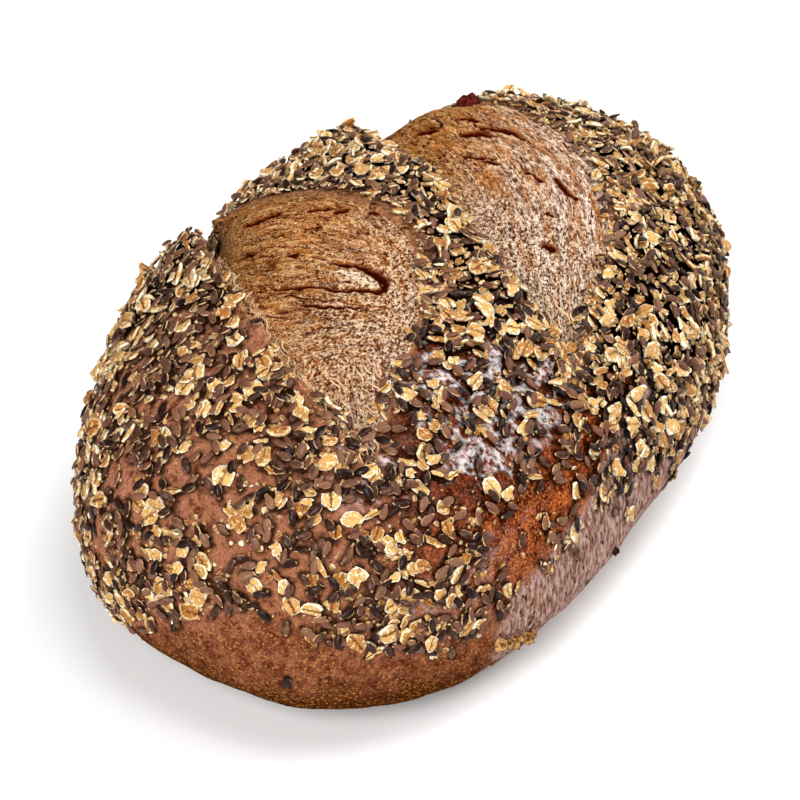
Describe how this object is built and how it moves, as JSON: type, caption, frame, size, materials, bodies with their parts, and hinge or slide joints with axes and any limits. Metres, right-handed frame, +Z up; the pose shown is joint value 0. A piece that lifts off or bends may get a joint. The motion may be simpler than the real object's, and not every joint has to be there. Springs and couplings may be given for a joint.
{
  "type": "porridge bread",
  "caption": "Oval wholegrain loaf with diagonal slashes torn open, coated with oat flakes and linseeds on top and bare crust below.",
  "frame": {"origin": "on the table under the middle of the loaf's bounding box", "axes": "+X along the loaf to its lower end, +Y across it to the side where the slashes begin, +Z up"},
  "size_m": [0.2677, 0.1678, 0.0986],
  "materials": {
    "crust": "baked brown crust, part dull and part glossy",
    "torn_crumb": "dry torn dough, matt",
    "oat_flake": "dry toasted oat, matt",
    "linseed": "smooth dark seed coat, satin"
  },
  "bodies": {
    "root": {"loaf": "crust"}
  },
  "joints": []
}
